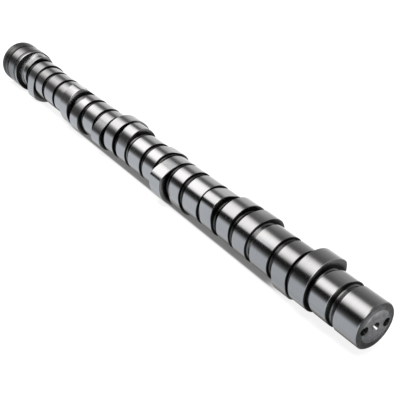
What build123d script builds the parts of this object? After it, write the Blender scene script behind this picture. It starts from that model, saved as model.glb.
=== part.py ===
from build123d import *
import math
import os

# Camshaft of a heavy-duty in-line six-cylinder diesel engine, overhead type,
# with unit injectors worked straight off the shaft: one solid steel piece.
# Millimetres.  The origin is on the axis, in the middle plane of the thrust
# journal (the first of seven bearings, one every PITCH).  +X runs along the
# shaft to the plain end.  +Z is up with the shaft lying on its lobes, at the
# roll angle in which it comes to rest.
# Angles are about +X, counted from +Y towards +Z.

# ---------------------------------------------------------------- dimensions
PITCH = 170.0               # journal to journal = cylinder spacing
JOURNAL_D = 70.0            # bearing journals
JOURNAL_W = 38.5
JOURNAL_1_X = PITCH         # centre of the first plain journal
END_JOURNAL_FROM = 999.5    # last journal is a little wider than the others
END_JOURNAL_TO = 1039.5
END_X = 1040.5              # face of the plain end
DRIVE_X = -45.5             # face of the drive end; 1086 over everything
CORE_D = 59.0               # turned necks between the bands
ROOT_FILLET = 2.5           # core to every side face
JOURNAL_CHAMFER = 0.8

# lobes of one cylinder, measured from the centre of the journal on the plain
# end side of it, back towards the drive flange
NEAR_VALVE = (30.3, 60.3)
INJECTOR = (70.2, 100.2)
FAR_VALVE = (111.3, 141.3)
LOBE_CHAMFER = 0.7

BASE_R = 35.0               # base circle of the valve lobes
FAR_VALVE_LIFT = 8.05
FAR_VALVE_HALF = 58.0       # half angle of the lift
NEAR_VALVE_LIFT = 8.0
NEAR_VALVE_HALF = 72.0

# injector lobe: radius over one turn, slow fill and fast fall
INJECTOR_R = (
    (0, 36.92), (15, 37.43), (30, 38.10), (45, 38.87), (60, 39.67),
    (75, 40.45), (90, 41.25), (105, 42.08), (120, 42.95), (135, 43.75),
    (150, 44.45), (165, 45.15), (180, 45.80), (192, 46.40), (200, 46.85),
    (205, 47.02), (209, 46.72), (214, 45.45), (220, 43.35), (226, 41.20),
    (233, 38.95), (240, 37.10), (248, 35.45), (256, 34.55), (265, 34.10),
    (275, 33.90), (285, 33.85), (300, 33.85), (315, 34.25), (330, 35.30),
    (345, 36.15),
)

# turn of each cylinder's lobe group, drive end first: cylinders 1 to 6
# (firing order 1-5-3-6-2-4, 60 degrees of camshaft between firings)
CYLINDER_TURN = (83.2, -36.8, -156.8, 23.2, 143.2, -96.8)
FAR_VALVE_AT = -1.3         # nose of the lobe within its group
NEAR_VALVE_AT = -106.5
# (the injector lobe's table starts at its group's turn and runs the same way)

# drive end: gear flange, groove, thrust journal, thrust collar
FLANGE_D = 90.0
COLLAR_X = (18.3, 27.5)
COLLAR_D = 90.0
COLLAR_GROOVE_D = 87.2      # runs out the grinding wheel beside the collar
COLLAR_GROOVE_W = 2.6
THRUST_JOURNAL_X = (-13.0, 15.7)
THRUST_GROOVE = (-17.5, -13.0)
THRUST_GROOVE_D = 84.5
RING_GROOVE = (-33.0, -30.0)
RING_GROOVE_D = 86.5
FLANGE_CHAMFER = 1.8
DRIVE_CENTRE_D = 20.0       # centre drilling, 60 degrees, in the drive face
DRIVE_PILOT_D = 10.0
DRIVE_PILOT_DEPTH = 22.0

# plain end face
PAD_D = 49.0                # raised middle of the face
PAD_FOOT_D = 54.5
END_CHAMFER = 1.2
CENTRE_HOLE_D = 13.0        # centre drilling, 60 degrees
CENTRE_PILOT_D = 6.4
CENTRE_PILOT_DEPTH = 16.0
SCREW_HOLE_R = 20.5         # two tapped M12 holes beside the centre
SCREW_HOLE_AT = 8.2         # their angle; the other is opposite
SCREW_TAP_D = 10.2
SCREW_THREAD_D = 12.0
SCREW_DEPTH = 26.0
SCREW_SINK_D = 13.0


def turned(points):
    """A solid of revolution about X from (x, radius) points."""
    with BuildPart() as body:
        with BuildSketch(Plane.XY):
            with BuildLine():
                Polyline(*[(x, r) for x, r in points], close=True)
            make_face()
        revolve(axis=Axis.X, revolution_arc=360)
    return body.part


def smooth(table, angle):
    """Periodic monotone cubic through (angle, radius) pairs."""
    a = [p[0] for p in table]
    r = [p[1] for p in table]
    n = len(a)
    h = [(a[(i + 1) % n] - a[i]) % 360 for i in range(n)]
    s = [(r[(i + 1) % n] - r[i]) / h[i] for i in range(n)]
    m = []
    for i in range(n):
        s0, s1 = s[i - 1], s[i]
        h0, h1 = h[i - 1], h[i]
        if s0 * s1 <= 0:
            m.append(0.0)
        else:
            w0, w1 = 2 * h1 + h0, h1 + 2 * h0
            m.append((w0 + w1) / (w0 / s0 + w1 / s1))
    angle %= 360
    i = max(k for k in range(n) if a[k] <= angle)
    t = (angle - a[i]) / h[i]
    j = (i + 1) % n
    return ((2 * t ** 3 - 3 * t ** 2 + 1) * r[i] + (t ** 3 - 2 * t ** 2 + t) * h[i] * m[i]
            + (3 * t ** 2 - 2 * t ** 3) * r[j] + (t ** 3 - t ** 2) * h[i] * m[j])


def valve_radius(angle, lift, half):
    d = abs((angle + 180.0) % 360.0 - 180.0)
    if d >= half:
        return BASE_R
    return BASE_R + lift * (0.5 + 0.5 * math.cos(math.pi * d / half))


def lobe(x0, x1, radius, step=4.0):
    """A disc cam from x0 to x1; radius(angle) about +X, from +Y towards +Z."""
    points = []
    count = int(round(360 / step))
    for k in range(count):
        t = 360.0 * k / count
        r = radius(t)
        points.append((r * math.cos(math.radians(t)), r * math.sin(math.radians(t))))
    face_plane = Plane(origin=(x0, 0, 0), x_dir=(0, 1, 0), z_dir=(1, 0, 0))
    with BuildPart() as body:
        with BuildSketch(face_plane):
            with BuildLine():
                Spline(*points, periodic=True)
            make_face()
        extrude(amount=x1 - x0)
        rims = [e for e in body.edges() if e.length > 150]
        chamfer(rims, length=LOBE_CHAMFER)
    return body.part


# ---------------------------------------------------------------- lobe table
bands = []      # (x from, x to) of every band that the core runs between
lobes = []
for cyl in range(6):
    near_journal_x = JOURNAL_1_X + PITCH * cyl
    turn = CYLINDER_TURN[cyl]
    f0, f1 = near_journal_x - FAR_VALVE[1], near_journal_x - FAR_VALVE[0]
    if cyl == 0:
        f0 = COLLAR_X[1] - 1.0          # runs into the thrust collar
    i0, i1 = near_journal_x - INJECTOR[1], near_journal_x - INJECTOR[0]
    n0, n1 = near_journal_x - NEAR_VALVE[1], near_journal_x - NEAR_VALVE[0]
    lobes.append(lobe(f0, f1, lambda t, c=turn: valve_radius(
        t - c - FAR_VALVE_AT, FAR_VALVE_LIFT, FAR_VALVE_HALF)))
    lobes.append(lobe(i0, i1, lambda t, c=turn: smooth(INJECTOR_R, c - t), step=3.0))
    lobes.append(lobe(n0, n1, lambda t, c=turn: valve_radius(
        t - c - NEAR_VALVE_AT, NEAR_VALVE_LIFT, NEAR_VALVE_HALF)))
    bands += [(f0, f1), (i0, i1), (n0, n1)]

journals = []
for k in range(5):
    c = JOURNAL_1_X + PITCH * k
    journals.append((c - JOURNAL_W / 2, c + JOURNAL_W / 2))
journals.append((END_JOURNAL_FROM, END_JOURNAL_TO))

# ---------------------------------------------------------------- shaft
core_r = CORE_D / 2
f = ROOT_FILLET
all_bands = sorted(bands + journals)
with BuildPart() as core:
    with BuildSketch(Plane.XY):
        with BuildLine():
            at = (COLLAR_X[1] - 2.0, core_r)
            Line((at[0], 0), at)
            for (a0, a1), (b0, b1) in zip(all_bands, all_bands[1:]):
                # the gap from a1 to b0: a round at each foot, run 2 mm into the bands
                p = [(a1 - 2, core_r), (a1 - 2, core_r + f), (a1, core_r + f),
                     (a1 + f, core_r), (b0 - f, core_r), (b0, core_r + f),
                     (b0 + 2, core_r + f), (b0 + 2, core_r)]
                Line(at, p[0])
                Line(p[0], p[1])
                Line(p[1], p[2])
                RadiusArc(p[2], p[3], -f)
                Line(p[3], p[4])
                RadiusArc(p[4], p[5], -f)
                Line(p[5], p[6])
                Line(p[6], p[7])
                at = p[7]
            end = (END_JOURNAL_FROM + 5.0, core_r)
            Line(at, end)
            Line(end, (end[0], 0))
            Line((end[0], 0), (COLLAR_X[1] - 2.0, 0))
        make_face()
    revolve(axis=Axis.X, revolution_arc=360)
shaft = core.part

c = JOURNAL_CHAMFER
jr = JOURNAL_D / 2
for x0, x1 in journals[:-1]:
    shaft += turned([(x0, 0), (x0, jr - c), (x0 + c, jr), (x1 - c, jr), (x1, jr - c), (x1, 0)])
x0, x1 = journals[-1]
e = END_CHAMFER
shaft += turned([(x0, 0), (x0, jr - c), (x0 + c, jr), (x1 - e, jr), (x1, jr - e),
                 (x1, PAD_FOOT_D / 2), (END_X, PAD_D / 2), (END_X, 0)])

fr, fc = FLANGE_D / 2, FLANGE_CHAMFER
cr = COLLAR_D / 2
g = 0.6
shaft += turned([
    (DRIVE_X, 0), (DRIVE_X, fr - fc), (DRIVE_X + fc, fr),
    (RING_GROOVE[0] - g, fr), (RING_GROOVE[0], RING_GROOVE_D / 2),
    (RING_GROOVE[1], RING_GROOVE_D / 2), (RING_GROOVE[1] + g, fr),
    (THRUST_GROOVE[0] - g, fr), (THRUST_GROOVE[0], THRUST_GROOVE_D / 2),
    (THRUST_GROOVE[1], THRUST_GROOVE_D / 2), (THRUST_GROOVE[1] + g, fr),
    (THRUST_JOURNAL_X[1] - 0.3, fr), (THRUST_JOURNAL_X[1], COLLAR_GROOVE_D / 2),
    (THRUST_JOURNAL_X[1] + COLLAR_GROOVE_W, COLLAR_GROOVE_D / 2),
    (COLLAR_X[0], cr - 0.8), (COLLAR_X[0] + 0.8, cr),
    (COLLAR_X[1] - 1.2, cr), (COLLAR_X[1], cr - 1.2), (COLLAR_X[1], 0)])

for solid in lobes:
    shaft += solid

# ---------------------------------------------------------------- holes
cone = (DRIVE_CENTRE_D - DRIVE_PILOT_D) / 2 / math.tan(math.radians(30))
D = DRIVE_X
shaft -= turned([(D - 1, 0), (D - 1, DRIVE_CENTRE_D / 2 + math.tan(math.radians(30))),
                 (D + cone, DRIVE_PILOT_D / 2), (D + DRIVE_PILOT_DEPTH, DRIVE_PILOT_D / 2),
                 (D + DRIVE_PILOT_DEPTH + DRIVE_PILOT_D / 2 / math.tan(math.radians(59)), 0)])
cone = (CENTRE_HOLE_D - CENTRE_PILOT_D) / 2 / math.tan(math.radians(30))
L = END_X
shaft -= turned([(L + 1, 0), (L + 1, CENTRE_HOLE_D / 2 + math.tan(math.radians(30))),
                 (L - cone, CENTRE_PILOT_D / 2), (L - CENTRE_PILOT_DEPTH, CENTRE_PILOT_D / 2),
                 (L - CENTRE_PILOT_DEPTH - CENTRE_PILOT_D / 2 / math.tan(math.radians(59)), 0)])
sink = (SCREW_SINK_D - SCREW_TAP_D) / 2
tip = SCREW_TAP_D / 2 / math.tan(math.radians(59))
drill = turned([(L + 1, 0), (L + 1, SCREW_SINK_D / 2 + 1), (L, SCREW_SINK_D / 2),
                (L - sink, SCREW_TAP_D / 2), (L - SCREW_DEPTH, SCREW_TAP_D / 2),
                (L - SCREW_DEPTH - tip, 0)])
for turn in (SCREW_HOLE_AT, SCREW_HOLE_AT + 180):
    y = SCREW_HOLE_R * math.cos(math.radians(turn))
    z = SCREW_HOLE_R * math.sin(math.radians(turn))
    shaft -= Pos(0, y, z) * drill

camshaft = shaft.solids()[0] if len(shaft.solids()) == 1 else shaft
print("solids", len(shaft.solids()), "volume cm3", round(shaft.volume / 1000, 1),
      "mass kg", round(shaft.volume * 7.85e-6, 2), "centre", shaft.center(CenterOf.MASS))

os.makedirs("parts", exist_ok=True)
export_step(camshaft, "parts/camshaft.step")
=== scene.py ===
import bpy
import bmesh
import math
from mathutils import Matrix, Vector
from mathutils.geometry import delaunay_2d_cdt


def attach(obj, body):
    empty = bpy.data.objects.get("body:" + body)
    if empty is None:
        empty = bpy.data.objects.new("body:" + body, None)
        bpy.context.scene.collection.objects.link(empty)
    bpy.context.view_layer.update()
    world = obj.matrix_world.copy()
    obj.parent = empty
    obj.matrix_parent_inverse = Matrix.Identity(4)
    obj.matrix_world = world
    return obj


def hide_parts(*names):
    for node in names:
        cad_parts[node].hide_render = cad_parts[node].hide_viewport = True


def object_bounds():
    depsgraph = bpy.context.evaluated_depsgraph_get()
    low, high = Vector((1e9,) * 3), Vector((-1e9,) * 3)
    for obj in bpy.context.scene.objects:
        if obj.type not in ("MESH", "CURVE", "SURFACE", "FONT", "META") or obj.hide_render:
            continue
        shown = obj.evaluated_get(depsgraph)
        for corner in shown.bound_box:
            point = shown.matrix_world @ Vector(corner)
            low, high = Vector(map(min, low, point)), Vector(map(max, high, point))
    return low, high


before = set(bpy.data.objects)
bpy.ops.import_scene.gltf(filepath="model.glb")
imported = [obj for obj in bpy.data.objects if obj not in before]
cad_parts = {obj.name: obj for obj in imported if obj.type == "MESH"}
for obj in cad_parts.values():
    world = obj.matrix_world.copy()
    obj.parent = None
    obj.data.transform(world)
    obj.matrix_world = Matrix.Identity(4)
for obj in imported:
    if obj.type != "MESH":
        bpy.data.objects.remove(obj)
cad_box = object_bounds()

# ------------------------------------------------------------------ the shaft
# Millimetres in this block; turned to metres when the mesh is written.
# Same dimensions as the CAD solid: x along the axis, angles about +X.
PITCH = 170.0
JR, JW = 35.0, 38.5
END_FROM, END_TO, END_X, DRIVE_X = 999.5, 1039.5, 1040.5, -45.5
CORE_R, FIL = 29.5, 2.5
J_CH, L_CH = 0.8, 0.7
NEAR_V, INJ, FAR_V = (30.3, 60.3), (70.2, 100.2), (111.3, 141.3)
INJ_TAB = (
    (0, 36.92), (15, 37.43), (30, 38.10), (45, 38.87), (60, 39.67),
    (75, 40.45), (90, 41.25), (105, 42.08), (120, 42.95), (135, 43.75),
    (150, 44.45), (165, 45.15), (180, 45.80), (192, 46.40), (200, 46.85),
    (205, 47.02), (209, 46.72), (214, 45.45), (220, 43.35), (226, 41.20),
    (233, 38.95), (240, 37.10), (248, 35.45), (256, 34.55), (265, 34.10),
    (275, 33.90), (285, 33.85), (300, 33.85), (315, 34.25), (330, 35.30),
    (345, 36.15),
)
TURN = (83.2, -36.8, -156.8, 23.2, 143.2, -96.8)
N = 200                                     # steps round the shaft
ANG = [360.0 * i / N for i in range(N)]
COS = [math.cos(math.radians(a)) for a in ANG]
SIN = [math.sin(math.radians(a)) for a in ANG]
(MAT_GROUND, MAT_SIDE, MAT_END, MAT_TURNED, MAT_NECK, MAT_PAINTED_SHADE, MAT_RING,
 MAT_FLANGE, MAT_CENTRE_SHADE_AND_GLINT, MAT_NECK_PAINTED_SHEEN, MAT_SATIN_AND_SHEEN) = range(11)


def smooth_table(table, angle):
    a = [p[0] for p in table]
    r = [p[1] for p in table]
    n = len(a)
    h = [(a[(i + 1) % n] - a[i]) % 360 for i in range(n)]
    s = [(r[(i + 1) % n] - r[i]) / h[i] for i in range(n)]
    m = []
    for i in range(n):
        s0, s1, h0, h1 = s[i - 1], s[i], h[i - 1], h[i]
        if s0 * s1 <= 0:
            m.append(0.0)
        else:
            w0, w1 = 2 * h1 + h0, h1 + 2 * h0
            m.append((w0 + w1) / (w0 / s0 + w1 / s1))
    angle %= 360
    i = max(k for k in range(n) if a[k] <= angle)
    t = (angle - a[i]) / h[i]
    j = (i + 1) % n
    return ((2 * t ** 3 - 3 * t ** 2 + 1) * r[i] + (t ** 3 - 2 * t ** 2 + t) * h[i] * m[i]
            + (3 * t ** 2 - 2 * t ** 3) * r[j] + (t ** 3 - t ** 2) * h[i] * m[j])


def valve(angle, lift, half):
    d = abs((angle + 180.0) % 360.0 - 180.0)
    return 35.0 if d >= half else 35.0 + lift * (0.5 + 0.5 * math.cos(math.pi * d / half))


def ring(r):
    return [r] * N if not isinstance(r, (list, tuple)) else list(r)


stations = []       # (x, radii, material of the faces from here to the next)


def st(x, r, mat):
    stations.append((x, ring(r), mat))


def foot(x, out, mat=MAT_SIDE):
    """Root round between the core and a side face; out = +1 where the face looks to +X."""
    steps = 4
    pts = []
    for q in range(steps + 1):
        t = math.pi / 2 * q / steps
        pts.append((x + out * (FIL - FIL * math.sin(t)), CORE_R + FIL - FIL * math.cos(t)))
    # pts run from (x + out*FIL, core) ... to (x, core + FIL)
    return pts


def band(x0, x1, r, ch, top, before, after):
    """One lobe or journal between x0 and x1, with its root rounds and side faces.

    before, after: skins of the necks on either side."""
    r = ring(r)
    if before is not None:
        for x, y in foot(x0, -1):
            st(x, y, before)
        st(x0, CORE_R + FIL + 0.3, MAT_SIDE)
        st(x0, [v - ch for v in r], top)
    st(x0 + ch, r, top)
    if after is not None:
        st(x1 - ch, r, MAT_SIDE)
        st(x1, [v - ch for v in r], MAT_SIDE)
        st(x1, CORE_R + FIL + 0.3, MAT_SIDE)
        for x, y in reversed(foot(x1, 1)):
            st(x, y, after)


# drive end, from the pilot hole's bottom outwards
D = DRIVE_X
cone = 5.0 / math.tan(math.radians(30))
DRIVE_TIP = D + 22.0 + 5.0 / math.tan(math.radians(59))
st(D + 22.0, 5.0, MAT_SIDE)
st(D + cone, 5.0, MAT_END)
st(D, 10.0, MAT_END)
st(D, 26.0, MAT_END)
st(D, 43.2, MAT_FLANGE)
st(D + 0.5, 44.3, MAT_FLANGE)
st(D + 1.8, 45.0, MAT_FLANGE)
st(-33.6, 45.0, MAT_FLANGE)
st(-33.0, 43.25, MAT_SIDE)
st(-30.0, 43.25, MAT_SIDE)
st(-29.4, 45.0, MAT_FLANGE)
st(-18.1, 45.0, MAT_FLANGE)
st(-17.5, 42.25, MAT_SIDE)
st(-13.0, 42.25, MAT_SIDE)
st(-12.4, 45.0, MAT_GROUND)
st(15.4, 45.0, MAT_TURNED)
st(15.7, 43.6, MAT_SIDE)
st(18.3, 43.6, MAT_SIDE)
st(18.3, 44.2, MAT_TURNED)
st(19.1, 45.0, MAT_TURNED)
st(26.3, 45.0, MAT_SIDE)
# painted shade: the collar's near face beside the first gap gets a very dark steel
st(27.5, 43.8, MAT_PAINTED_SHADE)

items = []
for cyl in range(6):
    c = PITCH * (cyl + 1)
    t = TURN[cyl]
    far = [valve(a - t + 1.3, 8.05, 58.0) for a in ANG]
    inj = [smooth_table(INJ_TAB, t - a) for a in ANG]
    near = [valve(a - t + 106.5, 8.0, 72.0) for a in ANG]
    items.append((c - FAR_V[1], c - FAR_V[0], far, L_CH))
    items.append((c - INJ[1], c - INJ[0], inj, L_CH))
    items.append((c - NEAR_V[1], c - NEAR_V[0], near, L_CH))
    if cyl < 5:
        items.append((c - JW / 2, c + JW / 2, JR, J_CH))
# painted sheen: necks by the band on their near side get a brighter copy of the neck steel, where their gap
# shows more light
NECKS_PAINTED_SHEEN = {6, 11, 19, 22, len(items)}
for k, (x0, x1, r, ch) in enumerate(items):
    here = MAT_NECK_PAINTED_SHEEN if k in NECKS_PAINTED_SHEEN else MAT_NECK
    after = MAT_NECK_PAINTED_SHEEN if k + 1 in NECKS_PAINTED_SHEEN else MAT_NECK
    if k == 0:
        r = ring(r)
        # painted sheen: this stretch of the lobe beside the collar gets the brighter, rougher steel
        st(27.5, r, MAT_SATIN_AND_SHEEN)
        st(45.0, r, MAT_GROUND)
        st(x1 - ch, r, MAT_SIDE)
        st(x1, [v - ch for v in r], MAT_SIDE)
        st(x1, CORE_R + FIL + 0.3, MAT_SIDE)
        for x, y in reversed(foot(x1, 1)):
            st(x, y, MAT_NECK)
    else:
        band(x0, x1, r, ch, MAT_GROUND, here, after)
# last journal, up to the rim of the end face
for x, y in foot(END_FROM, -1):
    st(x, y, MAT_NECK_PAINTED_SHEEN)
st(END_FROM, CORE_R + FIL + 0.3, MAT_SIDE)
st(END_FROM, JR - J_CH, MAT_GROUND)
st(END_FROM + J_CH, JR, MAT_GROUND)
st(END_TO - 1.2, JR, MAT_GROUND)
st(END_TO, JR - 1.2, MAT_END)

verts, faces, mats = [], [], []


def v(x, y, z):
    verts.append((x / 1000.0, y / 1000.0, z / 1000.0))
    return len(verts) - 1


prev = None
tip = v(DRIVE_TIP, 0, 0)
for k, (x, r, mat) in enumerate(stations):
    row = [v(x, r[i] * COS[i], r[i] * SIN[i]) for i in range(N)]
    if prev is None:
        for i in range(N):
            faces.append((tip, row[i], row[(i + 1) % N]))
            mats.append(MAT_SIDE)
    else:
        m = stations[k - 1][2]
        for i in range(N):
            j = (i + 1) % N
            faces.append((prev[i], row[i], row[j], prev[j]))
            mats.append(m)
    prev = row
rim = prev

# end face: raised pad, centre drilling and two tapped holes
PAD_R, PAD_FOOT = 24.5, 27.25
C_R, C_PILOT, C_DEPTH = 6.5, 3.2, 16.0
H_R, H_AT, H_SINK, H_TAP, H_MAJ, H_P, H_DEPTH = 20.5, 8.2, 6.5, 5.1, 6.0, 1.75, 26.0


def face_x(r):
    if r <= PAD_R:
        return END_X
    if r >= PAD_FOOT:
        return END_TO
    return END_X + (END_TO - END_X) * (r - PAD_R) / (PAD_FOOT - PAD_R)


def circle(cy, cz, r, n, start=0.0):
    return [Vector((cy + r * math.cos(start + 2 * math.pi * i / n),
                    cz + r * math.sin(start + 2 * math.pi * i / n))) for i in range(n)]


R_RIM = JR - 1.2
loops = [[Vector((R_RIM * COS[i], R_RIM * SIN[i])) for i in range(N)],
         circle(0, 0, PAD_FOOT, 120), circle(0, 0, PAD_R, 120), circle(0, 0, 15.0, 72),
         circle(0, 0, C_R, 72)]
holes = []
for s in (0, 180):
    a = math.radians(H_AT + s)
    holes.append((H_R * math.cos(a), H_R * math.sin(a)))
for cy, cz in holes:
    loops.append(circle(cy, cz, H_SINK, 64))
pts, edges = [], []
for lp in loops:
    b = len(pts)
    pts += lp
    edges += [(b + i, b + (i + 1) % len(lp)) for i in range(len(lp))]
out_v, out_e, out_f, _a, _b, _c = delaunay_2d_cdt(pts, edges, [], 0, 1e-7)
ids = {}
for k, p in enumerate(out_v):
    r = p.length
    if abs(r - R_RIM) < 1e-4:
        i = int(round(math.degrees(math.atan2(p.y, p.x)) / 360.0 * N)) % N
        ids[k] = rim[i]
    else:
        ids[k] = v(face_x(r), p.x, p.y)
kept = []
for f in out_f:
    c = sum((out_v[i] for i in f), Vector((0, 0))) / len(f)
    if c.length < C_R - 0.01 or c.length > R_RIM or any(
            (c - Vector(h)).length < H_SINK - 0.01 for h in holes):
        continue
    a, b, d = [out_v[i] for i in f][:3]
    area = (b - a).cross(d - a)
    f = list(f) if area > 0 else list(reversed(f))
    faces.append(tuple(ids[i] for i in f))
    mats.append(MAT_END if c.length < PAD_R else MAT_RING)


def mouth(cy, cz, r):
    """The cut loop round a hole: (vertex, angle about the hole), in order."""
    got = {}
    for k, p in enumerate(out_v):
        w = p - Vector((cy, cz))
        if abs(w.length - r) < 2e-2 and k in used:
            got[round(math.atan2(w.y, w.x), 7)] = ids[k]
    return [(t, got[t]) for t in sorted(got)]


used = set()
for f in out_f:
    c = sum((out_v[i] for i in f), Vector((0, 0))) / len(f)
    if c.length < C_R - 0.01 or c.length > R_RIM or any(
            (c - Vector(h)).length < H_SINK - 0.01 for h in holes):
        continue
    used.update(f)


def wall(start, cy, cz, rings, tip_x, skin):
    """Hole wall inwards from its mouth loop; rings = (x, radius or function of angle)."""
    angs = [t for t, _ in start]
    last = [k for _, k in start]
    n = len(last)
    for x, r in rings:
        cur = []
        for t in angs:
            rr = r(t) if callable(r) else r
            cur.append(v(x, cy + rr * math.cos(t), cz + rr * math.sin(t)))
        for i in range(n):
            j = (i + 1) % n
            faces.append((last[i], last[j], cur[j], cur[i]))
            mats.append(skin)
        last = cur
    end = v(tip_x, cy, cz)
    for i in range(n):
        faces.append((last[i], last[(i + 1) % n], end))
        mats.append(skin)


c_cone = (C_R - C_PILOT) / math.tan(math.radians(30))
wall(mouth(0, 0, C_R), 0, 0,
     [(END_X - c_cone, C_PILOT), (END_X - C_DEPTH, C_PILOT)],
     END_X - C_DEPTH - C_PILOT / math.tan(math.radians(59)), MAT_CENTRE_SHADE_AND_GLINT)


def thread(x, start_x, end_x):
    def r(t):
        ph = ((x / H_P) + t / (2 * math.pi)) % 1.0
        cut = 1.0 - abs(2 * ph - 1.0)                # 0 at the crest, 1 at the root
        cut = min(1.0, max(0.0, (cut - 0.12) / 0.76))
        fade = min(1.0, max(0.0, (start_x - x) / 1.0)) * min(1.0, max(0.0, (x - end_x) / 1.2))
        return H_TAP + (H_MAJ - H_TAP) * cut * fade
    return r


# painted shade: the tapped holes' walls get a very dark steel
for cy, cz in holes:
    x0 = END_TO - (H_SINK - H_TAP) - 0.2
    rings = [(x0 + 0.2, H_TAP + 0.15), (x0, H_TAP)]
    x = x0
    stop = x0 - 14.0
    while x > stop:
        x -= H_P / 8
        rings.append((x, thread(x, x0, stop)))
    rings.append((END_X - H_DEPTH, H_TAP))
    wall(mouth(cy, cz, H_SINK), cy, cz, rings,
         END_X - H_DEPTH - H_TAP / math.tan(math.radians(59)), MAT_PAINTED_SHADE)

mesh = bpy.data.meshes.new("camshaft_ground")
mesh.from_pydata(verts, [], faces)
bm = bmesh.new()
bm.from_mesh(mesh)
for f, m in zip(bm.faces, mats):
    f.material_index = m
    f.smooth = True
bmesh.ops.remove_doubles(bm, verts=bm.verts, dist=1e-7)
bmesh.ops.dissolve_degenerate(bm, edges=bm.edges, dist=1e-8)
bmesh.ops.recalc_face_normals(bm, faces=bm.faces)
open_edges = sum(1 for e in bm.edges if len(e.link_faces) != 2)
vol = bm.calc_volume(signed=True)
bm.to_mesh(mesh)
bm.free()
mesh.set_sharp_from_angle(angle=math.radians(29))
print("camshaft mesh: faces", len(mesh.polygons), "open edges", open_edges,
      "volume cm3", round(vol * 1e6, 1))
shaft = bpy.data.objects.new("camshaft_ground", mesh)
bpy.context.scene.collection.objects.link(shaft)
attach(shaft, "root")
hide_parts("camshaft")


# ------------------------------------------------------------------ materials
def node(nt, kind, **sets):
    n = nt.nodes.new(kind)
    for k, val in sets.items():
        setattr(n, k, val)
    return n


def metal(name, low, high, rough, rough_var, aniso, line_scale, line_bump, streak, mottle):
    """Bare metal worked in a lathe or grinder: fine lines round the shaft's axis."""
    m = bpy.data.materials.new(name)
    m.use_nodes = True
    nt = m.node_tree
    nt.nodes.clear()
    out = node(nt, "ShaderNodeOutputMaterial")
    b = node(nt, "ShaderNodeBsdfPrincipled")
    b.inputs["Metallic"].default_value = 1.0
    b.inputs["Anisotropic"].default_value = aniso
    nt.links.new(b.outputs[0], out.inputs["Surface"])
    tc = node(nt, "ShaderNodeTexCoord")
    # lines: very fine along x, nearly constant round the shaft
    mp = node(nt, "ShaderNodeMapping")
    mp.inputs["Scale"].default_value = (line_scale, 9.0, 9.0)
    nt.links.new(tc.outputs["Object"], mp.inputs["Vector"])
    lines = node(nt, "ShaderNodeTexNoise")
    lines.inputs["Scale"].default_value = 1.0
    lines.inputs["Detail"].default_value = 3.0
    lines.inputs["Roughness"].default_value = 0.65
    nt.links.new(mp.outputs[0], lines.inputs["Vector"])
    # broad streaks, also round the shaft
    mp2 = node(nt, "ShaderNodeMapping")
    mp2.inputs["Scale"].default_value = (line_scale * 0.16, 3.0, 3.0)
    nt.links.new(tc.outputs["Object"], mp2.inputs["Vector"])
    broad = node(nt, "ShaderNodeTexNoise")
    broad.inputs["Scale"].default_value = 1.0
    broad.inputs["Detail"].default_value = 2.0
    nt.links.new(mp2.outputs[0], broad.inputs["Vector"])
    cloud = node(nt, "ShaderNodeTexNoise")
    cloud.inputs["Scale"].default_value = 55.0
    cloud.inputs["Detail"].default_value = 4.0
    nt.links.new(tc.outputs["Object"], cloud.inputs["Vector"])
    # colour
    mix1 = node(nt, "ShaderNodeMix", data_type="FLOAT")
    mix1.inputs["Factor"].default_value = streak
    nt.links.new(cloud.outputs["Fac"], mix1.inputs["A"])
    nt.links.new(broad.outputs["Fac"], mix1.inputs["B"])
    ramp = node(nt, "ShaderNodeValToRGB")
    ramp.color_ramp.elements[0].position = 0.5 - mottle
    ramp.color_ramp.elements[0].color = (*low, 1)
    ramp.color_ramp.elements[1].position = 0.5 + mottle
    ramp.color_ramp.elements[1].color = (*high, 1)
    nt.links.new(mix1.outputs["Result"], ramp.inputs["Fac"])
    nt.links.new(ramp.outputs["Color"], b.inputs["Base Color"])
    # roughness
    rr = node(nt, "ShaderNodeMapRange")
    rr.inputs["From Min"].default_value = 0.3
    rr.inputs["From Max"].default_value = 0.7
    rr.inputs["To Min"].default_value = rough - rough_var
    rr.inputs["To Max"].default_value = rough + rough_var
    nt.links.new(lines.outputs["Fac"], rr.inputs["Value"])
    nt.links.new(rr.outputs["Result"], b.inputs["Roughness"])
    if aniso:
        tg = node(nt, "ShaderNodeTangent", direction_type="RADIAL", axis="X")
        nt.links.new(tg.outputs[0], b.inputs["Tangent"])
    bump = node(nt, "ShaderNodeBump")
    bump.inputs["Strength"].default_value = line_bump
    bump.inputs["Distance"].default_value = 0.00002
    nt.links.new(lines.outputs["Fac"], bump.inputs["Height"])
    nt.links.new(bump.outputs[0], b.inputs["Normal"])
    return m


ground = metal("ground_steel", (0.335, 0.335, 0.345), (0.375, 0.372, 0.37), 0.13, 0.03, 0.35,
               2600.0, 0.25, 0.75, 0.28)
side = metal("turned_side_faces", (0.026, 0.026, 0.025), (0.072, 0.071, 0.069), 0.27, 0.06, 0.0,
             900.0, 0.3, 0.5, 0.22)
end = metal("machined_end", (0.40, 0.405, 0.415), (0.64, 0.647, 0.66), 0.42, 0.06, 0.0,
            700.0, 0.4, 0.15, 0.17)
turned = metal("turned_rings", (0.15, 0.15, 0.152), (0.21, 0.21, 0.212), 0.26, 0.05, 0.3,
               1200.0, 0.35, 0.6, 0.25)
neck = metal("turned_necks", (0.045, 0.045, 0.045), (0.085, 0.084, 0.083), 0.24, 0.06, 0.2,
             1100.0, 0.5, 0.6, 0.28)
# painted sheen: a brighter copy of the neck steel, for necks whose gap shows more light
neck_painted_sheen = metal("turned_necks_painted_sheen", (0.14, 0.14, 0.141), (0.20, 0.199, 0.198), 0.20, 0.05, 0.2,
               1100.0, 0.5, 0.6, 0.28)
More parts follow.
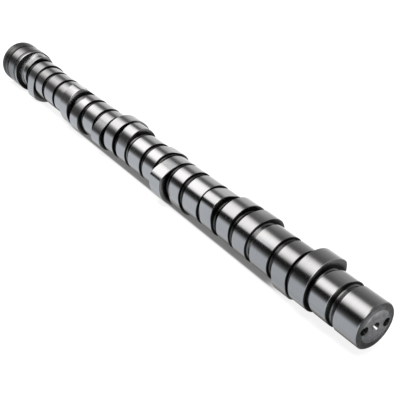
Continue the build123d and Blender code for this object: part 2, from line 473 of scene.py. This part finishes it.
# rougher finish beside the collar, with a much brighter base than the ground steel: painted sheen where the
# collar's dark face would mirror in the lobe
satin_and_sheen = metal("satin_and_painted_sheen_beside_collar", (0.56, 0.56, 0.565), (0.62, 0.617, 0.614), 0.40, 0.03, 0.3,
              2600.0, 0.05, 0.75, 0.28)
# very dark steel: painted shade on the collar's near face and in the tapped holes
painted_shade_steel = metal("dark_painted_shade", (0.012, 0.012, 0.012), (0.03, 0.03, 0.029), 0.40, 0.05, 0.0,
              900.0, 0.2, 0.3, 0.25)
outer = metal("end_face_rim", (0.18, 0.181, 0.185), (0.31, 0.312, 0.317), 0.40, 0.06, 0.0,
              700.0, 0.4, 0.15, 0.17)
for m in (end, outer):
    next(n for n in m.node_tree.nodes if n.type == "TEX_NOISE"
         and abs(n.inputs["Scale"].default_value - 55.0) < 0.1).inputs["Scale"].default_value = 190.0
flange = metal("flange_rings", (0.03, 0.03, 0.031), (0.135, 0.133, 0.13), 0.28, 0.08, 0.2,
               500.0, 0.6, 0.25, 0.12)
# the drilling's cone gets a much brighter steel than the shaft: painted glint
centre = metal("centre_drilling_painted_glint", (0.50, 0.50, 0.50), (0.60, 0.60, 0.60), 0.22, 0.05, 0.0,
               900.0, 0.2, 0.3, 0.25)
# painted light: the side faces get a much lighter steel away from the axis, so the noses, which stand clear
# of the narrow gaps, look lit while the roots in the gaps stay dark
nt = side.node_tree
bs = next(n for n in nt.nodes if n.type == "BSDF_PRINCIPLED")
tc = next(n for n in nt.nodes if n.type == "TEX_COORD")
flat = node(nt, "ShaderNodeVectorMath", operation="MULTIPLY")
flat.inputs[1].default_value = (0.0, 1.0, 1.0)
nt.links.new(tc.outputs["Object"], flat.inputs[0])
away = node(nt, "ShaderNodeVectorMath", operation="LENGTH")
nt.links.new(flat.outputs["Vector"], away.inputs[0])
mr = node(nt, "ShaderNodeMapRange", interpolation_type="SMOOTHSTEP")
mr.inputs["From Min"].default_value = 0.0355
mr.inputs["From Max"].default_value = 0.0435
nt.links.new(away.outputs["Value"], mr.inputs["Value"])
mx = node(nt, "ShaderNodeMix", data_type="RGBA")
mx.inputs["B"].default_value = (0.52, 0.52, 0.516, 1)
nt.links.new(mr.outputs["Result"], mx.inputs["Factor"])
nt.links.new(bs.inputs["Base Color"].links[0].from_socket, mx.inputs["A"])
nt.links.new(mx.outputs["Result"], bs.inputs["Base Color"])
# painted shade: the drilling's upper part is darkened, so the glint shows only in its lower part
nt = centre.node_tree
bs = next(n for n in nt.nodes if n.type == "BSDF_PRINCIPLED")
tc = next(n for n in nt.nodes if n.type == "TEX_COORD")
sep = node(nt, "ShaderNodeSeparateXYZ")
nt.links.new(tc.outputs["Object"], sep.inputs[0])
mr = node(nt, "ShaderNodeMapRange", interpolation_type="SMOOTHSTEP")
mr.inputs["From Min"].default_value = -0.0002
mr.inputs["From Max"].default_value = -0.0026
nt.links.new(sep.outputs["Z"], mr.inputs["Value"])
mx = node(nt, "ShaderNodeMix", data_type="RGBA")
mx.inputs["A"].default_value = (0.02, 0.02, 0.02, 1)
nt.links.new(mr.outputs["Result"], mx.inputs["Factor"])
nt.links.new(bs.inputs["Base Color"].links[0].from_socket, mx.inputs["B"])
nt.links.new(mx.outputs["Result"], bs.inputs["Base Color"])
for m in (ground, side, end, turned, neck, painted_shade_steel, outer, flange, centre, neck_painted_sheen, satin_and_sheen):
    mesh.materials.append(m)


# ------------------------------------------------------------------ the stage
def emitter(name, colour, strength):
    m = bpy.data.materials.new(name)
    m.use_nodes = True
    nt = m.node_tree
    nt.nodes.clear()
    out = node(nt, "ShaderNodeOutputMaterial")
    e = node(nt, "ShaderNodeEmission")
    e.inputs["Color"].default_value = (*colour, 1)
    e.inputs["Strength"].default_value = strength
    nt.links.new(e.outputs[0], out.inputs["Surface"])
    return m


floor_z = cad_box[0].z - 0.0002
fl = bpy.data.meshes.new("floor")
S = 9.0
fl.from_pydata([(-S, -S, floor_z), (S, -S, floor_z), (S, S, floor_z), (-S, S, floor_z)], [], [(0, 1, 2, 3)])
floor = bpy.data.objects.new("floor", fl)
bpy.context.scene.collection.objects.link(floor)
fm = bpy.data.materials.new("floor_paper")
fm.use_nodes = True
fb = fm.node_tree.nodes["Principled BSDF"]
fb.inputs["Base Color"].default_value = (0.26, 0.26, 0.26, 1)
fb.inputs["Roughness"].default_value = 0.9
fb.inputs["Specular IOR Level"].default_value = 0.0
fb.inputs["Emission Color"].default_value = (1, 1, 1, 1)
fb.inputs["Emission Strength"].default_value = 0.82
# painted shadow: the floor's glow is lowered in a narrow strip right under the shaft's middle, where hardly
# any light comes in
nt = fm.node_tree
tc = node(nt, "ShaderNodeTexCoord")
sep = node(nt, "ShaderNodeSeparateXYZ")
nt.links.new(tc.outputs["Object"], sep.inputs[0])
across = node(nt, "ShaderNodeMath", operation="ABSOLUTE")
nt.links.new(sep.outputs["Y"], across.inputs[0])
dark = None
for src, a, b in ((across.outputs[0], 0.0150, 0.0085), (sep.outputs["X"], 0.20, 0.27),
                  (sep.outputs["X"], 0.895, 0.845)):
    mr = node(nt, "ShaderNodeMapRange", interpolation_type="SMOOTHSTEP")
    mr.inputs["From Min"].default_value = a
    mr.inputs["From Max"].default_value = b
    nt.links.new(src, mr.inputs["Value"])
    if dark is None:
        dark = mr.outputs["Result"]
    else:
        mul = node(nt, "ShaderNodeMath", operation="MULTIPLY")
        nt.links.new(dark, mul.inputs[0])
        nt.links.new(mr.outputs["Result"], mul.inputs[1])
        dark = mul.outputs[0]
glow = node(nt, "ShaderNodeMapRange")
glow.inputs["To Min"].default_value = 0.82
glow.inputs["To Max"].default_value = 0.13
nt.links.new(dark, glow.inputs["Value"])
nt.links.new(glow.outputs["Result"], fb.inputs["Emission Strength"])
fl.materials.append(fm)
floor.visible_glossy = False

# A light tent round the shaft's axis, seen only in the metal: soft boxes and
# dark cards as strips parallel to the shaft.  (angle from straight up about
# the axis, negative towards the front; radiance)
TENT_NEAR = (
    (-208, 0.36), (-202, 0.45), (-194, 0.60), (-186, 0.70), (-170, 0.80), (-154, 0.90),
    (-122, 0.92), (-113, 0.92), (-106, 0.55), (-98, 0.19), (-90, 0.07), (-82, 0.025),
    (-70, 0.02), (-65, 0.09), (-58, 0.75), (-51, 1.55), (-43, 2.15), (-34, 2.40), (-25, 2.40),
    (-17, 2.10), (-9, 1.45), (-2, 0.55), (4, 0.22), (14, 0.22), (22, 0.25), (30, 0.32),
    (38, 0.38), (46, 0.44), (62, 0.57), (78, 0.76), (94, 1.14), (110, 1.15), (120, 0.90),
    (128, 0.45), (138, 0.30), (152, 0.36),
)
TENT_MID = (
    (-208, 0.50), (-194, 0.75), (-170, 1.00), (-122, 1.10), (-110, 1.12), (-102, 0.92),
    (-95, 0.28), (-87, 0.04), (-70, 0.02), (-66, 0.12), (-62, 0.90), (-58, 1.95), (-51, 2.45),
    (-42, 2.65), (-18, 2.65), (-4, 2.20), (2, 1.45), (8, 0.55), (15, 0.26), (23, 0.23), (30, 0.40),
    (40, 0.78), (50, 0.98), (62, 0.98), (78, 1.05), (94, 1.22), (110, 1.10), (128, 0.50),
    (152, 0.50),
)
TENT_BACK = (
    (-208, 0.50), (-194, 0.75), (-170, 1.00), (-122, 1.10), (-110, 1.12), (-103, 0.85),
    (-95, 0.28), (-86, 0.09), (-70, 0.07), (-66, 0.18), (-58, 0.85), (-50, 2.00), (-42, 2.60),
    (-18, 2.65), (-4, 2.15), (2, 1.40), (8, 0.52), (15, 0.25), (23, 0.22), (30, 0.42),
    (40, 0.82), (50, 1.00), (62, 1.00), (78, 1.05), (94, 1.20), (110, 1.05), (128, 0.48),
    (152, 0.50),
)
TENT_FAR = (
    (-208, 0.50), (-194, 0.78), (-170, 1.02), (-122, 1.08), (-112, 1.00), (-104, 0.55),
    (-96, 0.22), (-86, 0.15), (-66, 0.15), (-58, 0.28), (-50, 0.65), (-38, 1.20), (-24, 1.65),
    (-12, 1.45), (0, 1.00), (8, 0.65), (15, 0.33), (23, 0.22), (31, 0.28), (42, 0.75),
    (54, 0.92), (74, 1.08), (94, 1.20), (110, 1.05), (128, 0.48), (152, 0.50),
)
TENT_DRIVE = (
    (-208, 0.25), (-170, 0.38), (-122, 0.42), (-112, 0.40), (-104, 0.24), (-96, 0.10),
    (-86, 0.04), (-72, 0.04), (-62, 0.22), (-54, 0.90), (-42, 1.55), (-30, 1.70), (-18, 1.40),
    (-8, 0.90), (4, 0.32), (14, 0.12), (44, 0.11), (62, 0.25), (80, 0.70), (96, 0.95),
    (110, 0.80), (128, 0.30), (152, 0.25),
)


def tent_value(table, a):
    for (a0, r0), (a1, r1) in zip(table, table[1:]):
        if a0 <= a <= a1:
            f = (a - a0) / (a1 - a0)
            f = f * f * (3 - 2 * f)
            return r0 + (r1 - r0) * f
    return table[-1][1]


# tables at stations along the shaft, and the soft boxes' own gain between
# their panels: (x, gain)
TENT_X = ((-7.0, TENT_DRIVE), (-2.84, TENT_DRIVE), (-2.64, TENT_FAR), (-2.22, TENT_FAR), (-1.45, TENT_BACK), (-1.15, TENT_BACK),
          (-0.92, TENT_MID), (-0.54, TENT_MID), (-0.35, TENT_NEAR), (7.0, TENT_NEAR))
# a dark card beside the plain end, which the side faces of the bands see
BESIDE = ((-7.0, 1.0), (1.15, 1.0), (1.35, 0.15), (2.35, 0.15), (2.78, 1.0), (7.0, 1.0))
PANELS = ((-7.0, 0.85), (-3.0, 1.0), (-2.17, 1.0), (-2.10, 1.5),
          (-2.02, 1.95), (-1.94, 1.95), (-1.89, 1.0), (-1.7, 0.97), (-1.45, 1.0), (-1.40, 1.04), (-1.16, 1.04), (-1.10, 1.0),
          (-0.93, 1.0), (-0.90, 1.06), (-0.79, 1.06), (-0.76, 0.86), (-0.44, 0.87),
          (-0.41, 1.03), (-0.31, 1.06), (-0.27, 0.90), (-0.06, 0.92), (-0.02, 1.02),
          (0.12, 1.02), (0.20, 0.97), (7.0, 0.97))
# small cards and panel corners in front of the soft boxes: x0, x1, angle0 and
# angle1, how far the lower edge runs askew over the width, radiance
FLAGS = ((-1.145, -1.03, -12.0, 10.0, 5.0, 0.95),
         (-1.78, -1.66, -74.0, -49.0, 0.0, 0.34),
         (-2.03, -1.93, -107.0, -56.5, 0.0, 0.06),
         (-0.43, -0.31, -62.5, -52.0, 0.0, 1.90))


def along(table, x, pick):
    for (x0, v0), (x1, v1) in zip(table, table[1:]):
        if x0 <= x <= x1:
            f = (x - x0) / (x1 - x0)
            return pick(v0) * (1 - f) + pick(v1) * f
    return pick(table[-1][1])


TR = 1.6
xs = [-7.0, -5.0, -3.6, -3.0, -2.84, -2.74, -2.64, -2.5, -2.3, -2.0, -1.8, -1.6]
xs += [-1.5 + 0.02 * k for k in range(96)]
xs += [-2.17, -2.13, -2.10, -2.04, -2.02, -1.94, -1.92, -1.89, -1.79, -1.77, -1.67, -1.65]
xs += [0.5, 0.75, 1.15, 1.35, 1.8, 2.35, 2.5, 2.65, 2.8, 3.5, 5.0, 7.0]
xs.sort()
K = len(xs)
tm = bpy.data.meshes.new("light_tent")
tv, tf, tint = [], [], []
steps = 360
for i in range(steps):
    deg = -208 + 360.0 * i / steps
    y, z = TR * math.sin(math.radians(deg)), TR * math.cos(math.radians(deg))
    front = max(0.0, min(1.0, (deg + 66) / 8)) * max(0.0, min(1.0, (8 - deg) / 8))
    low = max(0.0, min(1.0, (-92 - deg) / 10))
    cool = 0.048 * low
    for x in xs:
        val = along(TENT_X, x, lambda t: tent_value(t, deg))
        gain = along(PANELS, x, lambda g: g)
        val *= 1 + (gain - 1) * front + 0.5 * (min(gain, 1.05) - 1) * low
        rear = max(0.0, min(1.0, (deg - 78) / 14)) + max(0.0, min(1.0, (-192 - deg) / 14))
        val *= 1 + (along(BESIDE, x, lambda g: g) - 1) * rear
        warm, cool_x = 0.012 * front, cool
        for x0, x1, a0, a1, skew, g in FLAGS:
            if x0 < x < x1:
                edge = a0 + skew * (x1 - x) / (x1 - x0)
                f = max(0.0, min(1.0, (deg - edge) / 2 + 0.5, (a1 - deg) / 2 + 0.5))
                val += (g - val) * f
                warm *= 1 - f
                cool_x += 0.03 * f
        tv.append((x, y, z))
        tint.append((val * (1 + warm - cool_x), val, val * (1 - warm + cool_x), 1))
for i in range(steps):
    j = (i + 1) % steps
    for q in range(K - 1):
        tf.append((K * i + q, K * i + q + 1, K * j + q + 1, K * j + q))
tm.from_pydata(tv, [], tf)
attr = tm.color_attributes.new("radiance", "FLOAT_COLOR", "POINT")
for k, c in enumerate(tint):
    attr.data[k].color = c
tent = bpy.data.objects.new("light_tent", tm)
bpy.context.scene.collection.objects.link(tent)
te = bpy.data.materials.new("light_tent")
te.use_nodes = True
nt = te.node_tree
nt.nodes.clear()
o = node(nt, "ShaderNodeOutputMaterial")
e = node(nt, "ShaderNodeEmission")
at = node(nt, "ShaderNodeAttribute", attribute_name="radiance")
nt.links.new(at.outputs["Color"], e.inputs["Color"])
nt.links.new(e.outputs[0], o.inputs["Surface"])
te.cycles.emission_sampling = "NONE"
tm.materials.append(te)
tent.visible_camera = False
tent.visible_diffuse = False
tent.visible_shadow = False
tent.visible_transmission = False

# the shaft's own shadow on the paper, as its underside mirrors it
sm = bpy.data.meshes.new("under_card")
rows = ((-0.029, 0.90), (-0.024, 0.62), (-0.016, 0.34), (-0.007, 0.15), (0.004, 0.09),
        (0.045, 0.09), (0.075, 0.40))
sm.from_pydata([(x, y, floor_z + 0.0001) for y, _ in rows for x in (-0.07, 1.06)], [],
               [(2 * k, 2 * k + 1, 2 * k + 3, 2 * k + 2) for k in range(len(rows) - 1)])
attr = sm.color_attributes.new("radiance", "FLOAT_COLOR", "POINT")
for k in range(2 * len(rows)):
    g = rows[k // 2][1]
    attr.data[k].color = (g, g, g, 1)
sm.materials.append(te)
under = bpy.data.objects.new("under_card", sm)
bpy.context.scene.collection.objects.link(under)
under.visible_camera = False
under.visible_diffuse = False
under.visible_shadow = False
under.visible_transmission = False

world = bpy.data.worlds.new("studio")
bpy.context.scene.world = world
world.use_nodes = True
world.node_tree.nodes["Background"].inputs["Color"].default_value = (1.0, 1.0, 1.0, 1)
world.node_tree.nodes["Background"].inputs["Strength"].default_value = 0.80

key = bpy.data.lights.new("softbox", "AREA")
key.shape = "RECTANGLE"
key.size, key.size_y = 3.6, 0.9
key.energy = 72.0
key_o = bpy.data.objects.new("softbox", key)
bpy.context.scene.collection.objects.link(key_o)
key_o.location = (0.3, -1.1, 2.25)
key_o.rotation_euler = (Vector((0.2, 0.15, 0)) - key_o.location).to_track_quat("-Z", "Y").to_euler()
key_o.visible_glossy = False

# ------------------------------------------------------------------ camera
cam = bpy.data.cameras.new("camera")
cam.sensor_width = 36.0
cam.sensor_fit = "HORIZONTAL"
cam.lens = 64.7196
cam.clip_start, cam.clip_end = 0.01, 60.0
cam_o = bpy.data.objects.new("camera", cam)
bpy.context.scene.collection.objects.link(cam_o)
right = Vector((0.5781657, 0.7863284, 0.2176923))
up = Vector((-0.4376023, 0.0736608, 0.8961464))
back = Vector((0.6886424, -0.6133837, 0.3866933))
mw = Matrix.Identity(4)
for i in range(3):
    mw[i][0], mw[i][1], mw[i][2] = right[i], up[i], back[i]
mw.translation = Vector((1.462575, -0.711506, 0.441152))
cam_o.matrix_world = mw
bpy.context.scene.camera = cam_o
bpy.context.scene.view_settings.view_transform = "Standard"
